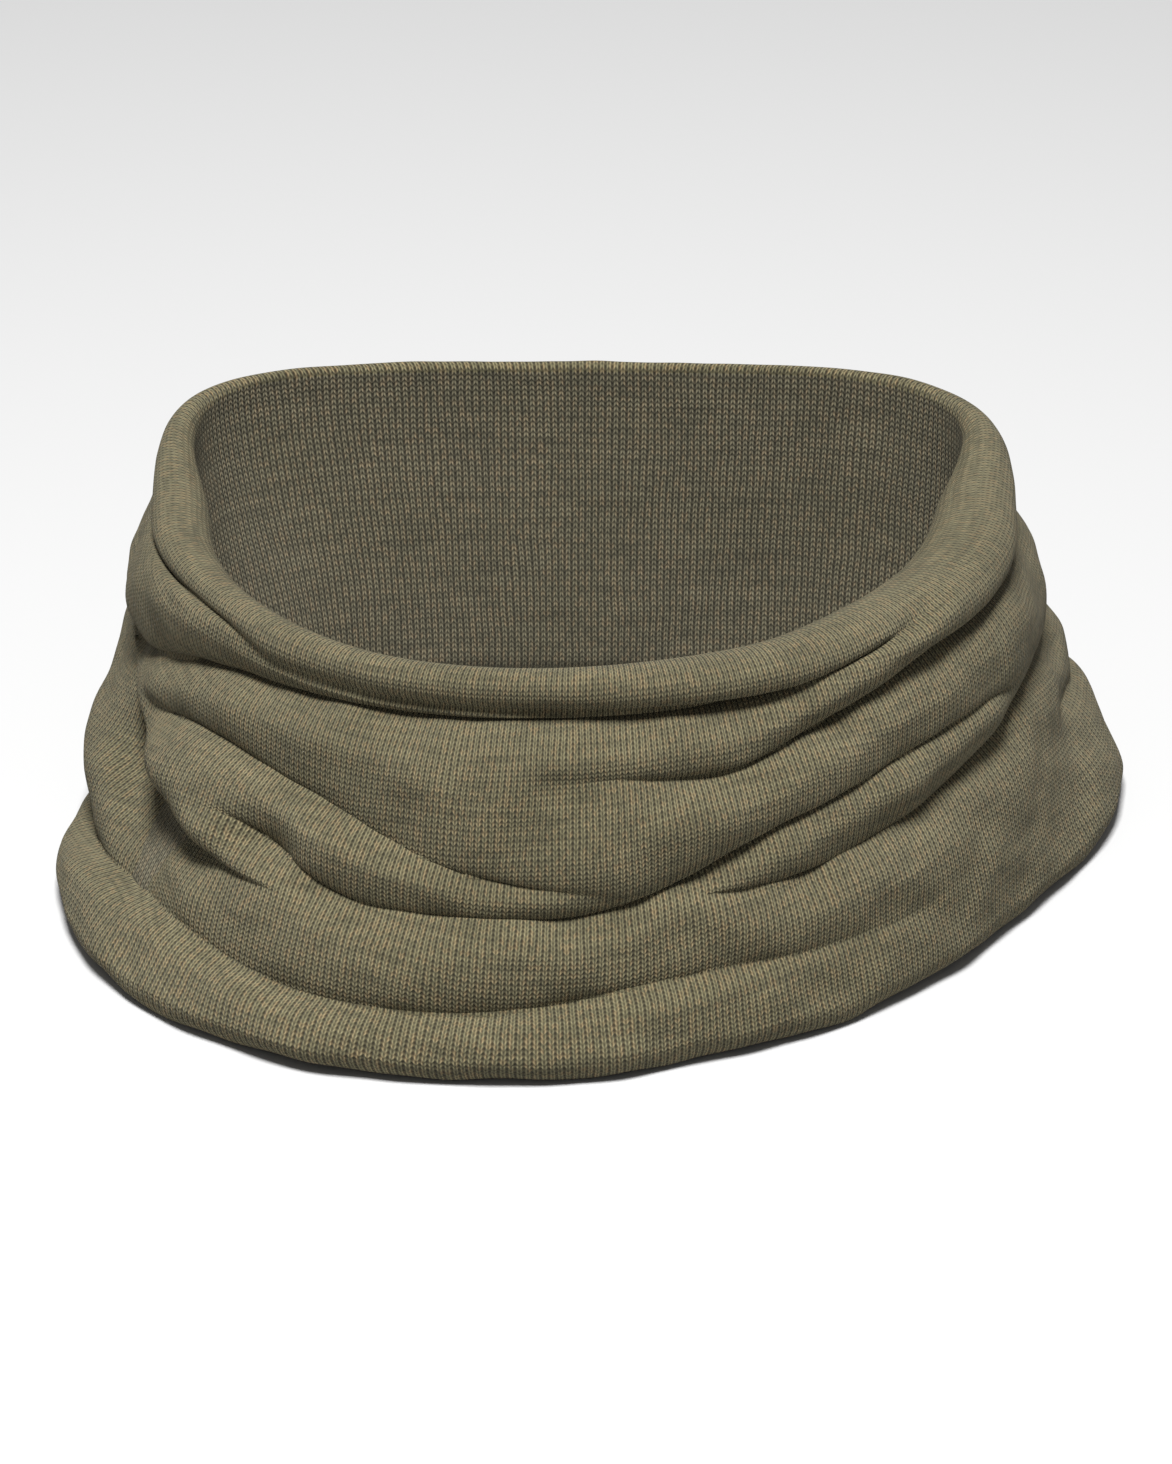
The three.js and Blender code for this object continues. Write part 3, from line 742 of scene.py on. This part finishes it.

# ---- Care label -------------------------------------------------------------------------------------
# A blank woven satin tape, folded across its middle, with both ends caught in the join. It lies inwards on
# the floor from the seam, where it stays here; the real label can be turned up to be read.

LABEL_WIDTH, LABEL_LENGTH = 24.0, 20.0
LABEL_TAPE = 0.3
LABEL_AZIMUTH = 18.0
LABEL_ROOT_INSIDE = 5.2
TAPE_STEPS = 40
# The line it turns on, and the directions along that line and inwards from it.
hinge = np.array([26.96, -69.16, 2.45])
label_across = np.array([0.9119, 0.4104, 0.0])
label_in = np.array([-0.4104, 0.9119, 0.0])
root_place = in_space(LABEL_AZIMUTH, hollow_at(LABEL_AZIMUTH) - LABEL_ROOT_INSIDE, hinge[2]) + TUBE_CENTRE
ROOT = float((root_place - hinge) @ label_in)
# The tape's line from one end, out along the lower leaf, round the fold and back along the upper one.
LABEL_LINE = [
    (0.0, 2.0), (2.5, 1.75), (5.5, 1.15), (9, 0.75), (13, 0.65), (17, 0.9), (19.6, 1.5), (19.95, 1.75),
    (19.6, 1.95), (17, 1.5), (13, 1.3), (9, 1.4), (5.5, 1.75), (2.5, 2.25), (0.0, 2.45)]
tape_line = np.array(LABEL_LINE)
tape_line[:, 0] = ROOT + tape_line[:, 0] * (LABEL_LENGTH - ROOT) / LABEL_LENGTH
tape_share = np.linspace(0, len(tape_line) - 1, 113)
tape_line = np.stack([softened(np.interp(tape_share, np.arange(len(tape_line)), tape_line[:, i]), 2, False)
                      for i in (0, 1)], 1)
tape_run = np.append(0, np.cumsum(np.linalg.norm(np.diff(tape_line, axis=0), axis=1)))
bm = bmesh.new()
bm.loops.layers.uv.new("tape")
tape_uv = bm.loops.layers.uv["tape"]
bmesh.ops.create_grid(bm, x_segments=TAPE_STEPS, y_segments=len(tape_line) - 1, size=1)
for f in bm.faces:
    for loop in f.loops:
        r = round((loop.vert.co.y + 1) / 2 * (len(tape_line) - 1))
        loop[tape_uv].uv = ((loop.vert.co.x + 1) / 2 * LABEL_WIDTH, tape_run[r])
for v in bm.verts:
    side, r = v.co.x * LABEL_WIDTH / 2, round((v.co.y + 1) / 2 * (len(tape_line) - 1))
    out, up = tape_line[r]
    free = np.clip((out - ROOT) / LABEL_LENGTH, 0, 1)
    cup = 0.35 * free * (side / LABEL_WIDTH * 2) ** 2 + 0.12 * free * math.sin(side * 0.5 + 1)
    v.co = Vector((hinge + label_in * out + label_across * side) * MM)
    v.co.z = (up + max(cup, 0)) * MM
bmesh.ops.recalc_face_normals(bm, faces=bm.faces)
bmesh.ops.solidify(bm, geom=bm.faces[:], thickness=LABEL_TAPE * MM)
tape_mesh = bpy.data.meshes.new("care_label_tape")
bm.to_mesh(tape_mesh)
bm.free()
tape_mesh.shade_smooth()
tape = bpy.data.objects.new("care_label_tape", tape_mesh)
bpy.context.scene.collection.objects.link(tape)
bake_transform(tape)
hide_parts("care_label")


def satin_finish(name):
    """Woven polyester satin: fine warp ribs crossed by the weft, off-white and a little uneven."""
    material = bpy.data.materials.new(name)
    material.use_nodes = True
    nodes, links = material.node_tree.nodes, material.node_tree.links
    shader = nodes["Principled BSDF"]
    uv = nodes.new("ShaderNodeUVMap")
    uv.uv_map = "tape"
    warp = nodes.new("ShaderNodeTexWave")
    warp.wave_type, warp.bands_direction = "BANDS", "X"
    warp.inputs["Scale"].default_value = 1.1
    warp.inputs["Distortion"].default_value = 0.4
    links.new(uv.outputs[0], warp.inputs["Vector"])
    weft = nodes.new("ShaderNodeTexWave")
    weft.wave_type, weft.bands_direction = "BANDS", "Y"
    weft.inputs["Scale"].default_value = 0.7
    weft.inputs["Distortion"].default_value = 0.8
    links.new(uv.outputs[0], weft.inputs["Vector"])
    weave = nodes.new("ShaderNodeMath")
    weave.operation = "MULTIPLY_ADD"
    weave.inputs[1].default_value = 0.35
    links.new(weft.outputs["Fac"], weave.inputs[0])
    links.new(warp.outputs["Fac"], weave.inputs[2])
    soiling = nodes.new("ShaderNodeTexNoise")
    soiling.inputs["Scale"].default_value = 0.12
    soiling.inputs["Detail"].default_value = 5
    links.new(uv.outputs[0], soiling.inputs["Vector"])
    mix = nodes.new("ShaderNodeMix")
    mix.data_type = "RGBA"
    links.new(soiling.outputs[0], mix.inputs["Factor"])
    mix.inputs["A"].default_value = (0.62, 0.6, 0.54, 1)
    mix.inputs["B"].default_value = (0.78, 0.77, 0.72, 1)
    shade = nodes.new("ShaderNodeMix")
    shade.data_type, shade.blend_type = "RGBA", "MULTIPLY"
    shade.inputs["Factor"].default_value = 0.25
    links.new(mix.outputs["Result"], shade.inputs["A"])
    links.new(weave.outputs[0], shade.inputs["B"])
    links.new(shade.outputs["Result"], shader.inputs["Base Color"])
    bump = nodes.new("ShaderNodeBump")
    bump.inputs["Strength"].default_value = 0.5
    bump.inputs["Distance"].default_value = 0.0001
    links.new(weave.outputs[0], bump.inputs["Height"])
    links.new(bump.outputs[0], shader.inputs["Normal"])
    shader.inputs["Roughness"].default_value = 0.38
    shader.inputs["Sheen Weight"].default_value = 0.3
    return material


tape_mesh.materials.append(satin_finish("satin_tape"))

# ---- Label stitches ---------------------------------------------------------------------------------
# The row of stitches that holds the label in the seam: a pale thread over the upper leaf near its root.

LABEL_STITCHES = 9
stitch_share = np.linspace(0, 1, LABEL_STITCHES * 12 + 1)
stitch_side = (stitch_share - 0.5) * (LABEL_WIDTH - 2)
stitch_out = ROOT + 2.2 + 0.5 * np.sin(2 * math.pi * LABEL_STITCHES * stitch_share)
stitch_up = 2.66 + 0.12 * np.cos(4 * math.pi * LABEL_STITCHES * stitch_share)
stitch_places = (hinge * (1, 1, 0) + np.outer(stitch_out, label_in) + np.outer(stitch_side, label_across)
                 + np.outer(stitch_up, (0, 0, 1))) * MM
label_row = thread_piece("label_stitch_row", stitch_places, 0.18)
label_row.data.materials.append(thread_finish("pale_thread", (0.3, 0.28, 0.22), (0.6, 0.58, 0.5)))
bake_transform(label_row)
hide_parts("label_stitches")

# ---- Stage ------------------------------------------------------------------------------------------
# A sheet of pale paper under one soft lamp and even light from all round, with the camera in front and
# a little above.

floor_mesh = bpy.data.meshes.new("floor")
bm = bmesh.new()
bmesh.ops.create_grid(bm, x_segments=1, y_segments=1, size=6)
bm.to_mesh(floor_mesh)
bm.free()
floor = bpy.data.objects.new("floor", floor_mesh)
bpy.context.scene.collection.objects.link(floor)
floor.location.z = -0.0005
paper = bpy.data.materials.new("pale_paper")
paper.use_nodes = True
paper.node_tree.nodes["Principled BSDF"].inputs["Base Color"].default_value = (0.4, 0.4, 0.4, 1)
paper.node_tree.nodes["Principled BSDF"].inputs["Roughness"].default_value = 0.9
floor_mesh.materials.append(paper)
floor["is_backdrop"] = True

camera_data = bpy.data.cameras.new("camera")
camera = bpy.data.objects.new("camera", camera_data)
bpy.context.scene.collection.objects.link(camera)
bpy.context.scene.camera = camera
camera_data.lens = 120
camera_data.sensor_width = 36
camera_data.clip_end = 50
tilt = math.radians(29.78)
camera_distance = 1.098
target = Vector(TUBE_CENTRE * MM)
ahead = Vector((0, math.cos(tilt), -math.sin(tilt)))
camera.location = target - ahead * camera_distance
camera.rotation_mode = "QUATERNION"
camera.rotation_quaternion = ahead.to_track_quat("-Z", "Y")
bpy.context.scene.view_settings.view_transform = "Standard"
camera_data.shift_x = 0.0007
camera_data.shift_y = 0.0558

world = bpy.data.worlds.new("studio")
bpy.context.scene.world = world
world.use_nodes = True
world.node_tree.nodes["Background"].inputs["Color"].default_value = (1, 1, 1, 1)
world.node_tree.nodes["Background"].inputs["Strength"].default_value = 0.27


def soft_light(name, place, size, watts):
    data = bpy.data.lights.new(name, "AREA")
    data.shape = "SQUARE"
    data.size = size
    data.energy = watts
    light = bpy.data.objects.new(name, data)
    bpy.context.scene.collection.objects.link(light)
    light.location = place
    light.rotation_mode = "QUATERNION"
    light.rotation_quaternion = (-Vector(place)).to_track_quat("-Z", "Y")


soft_light("key", (-0.05, -0.55, 1.6), 0.4, 70)

low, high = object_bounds()
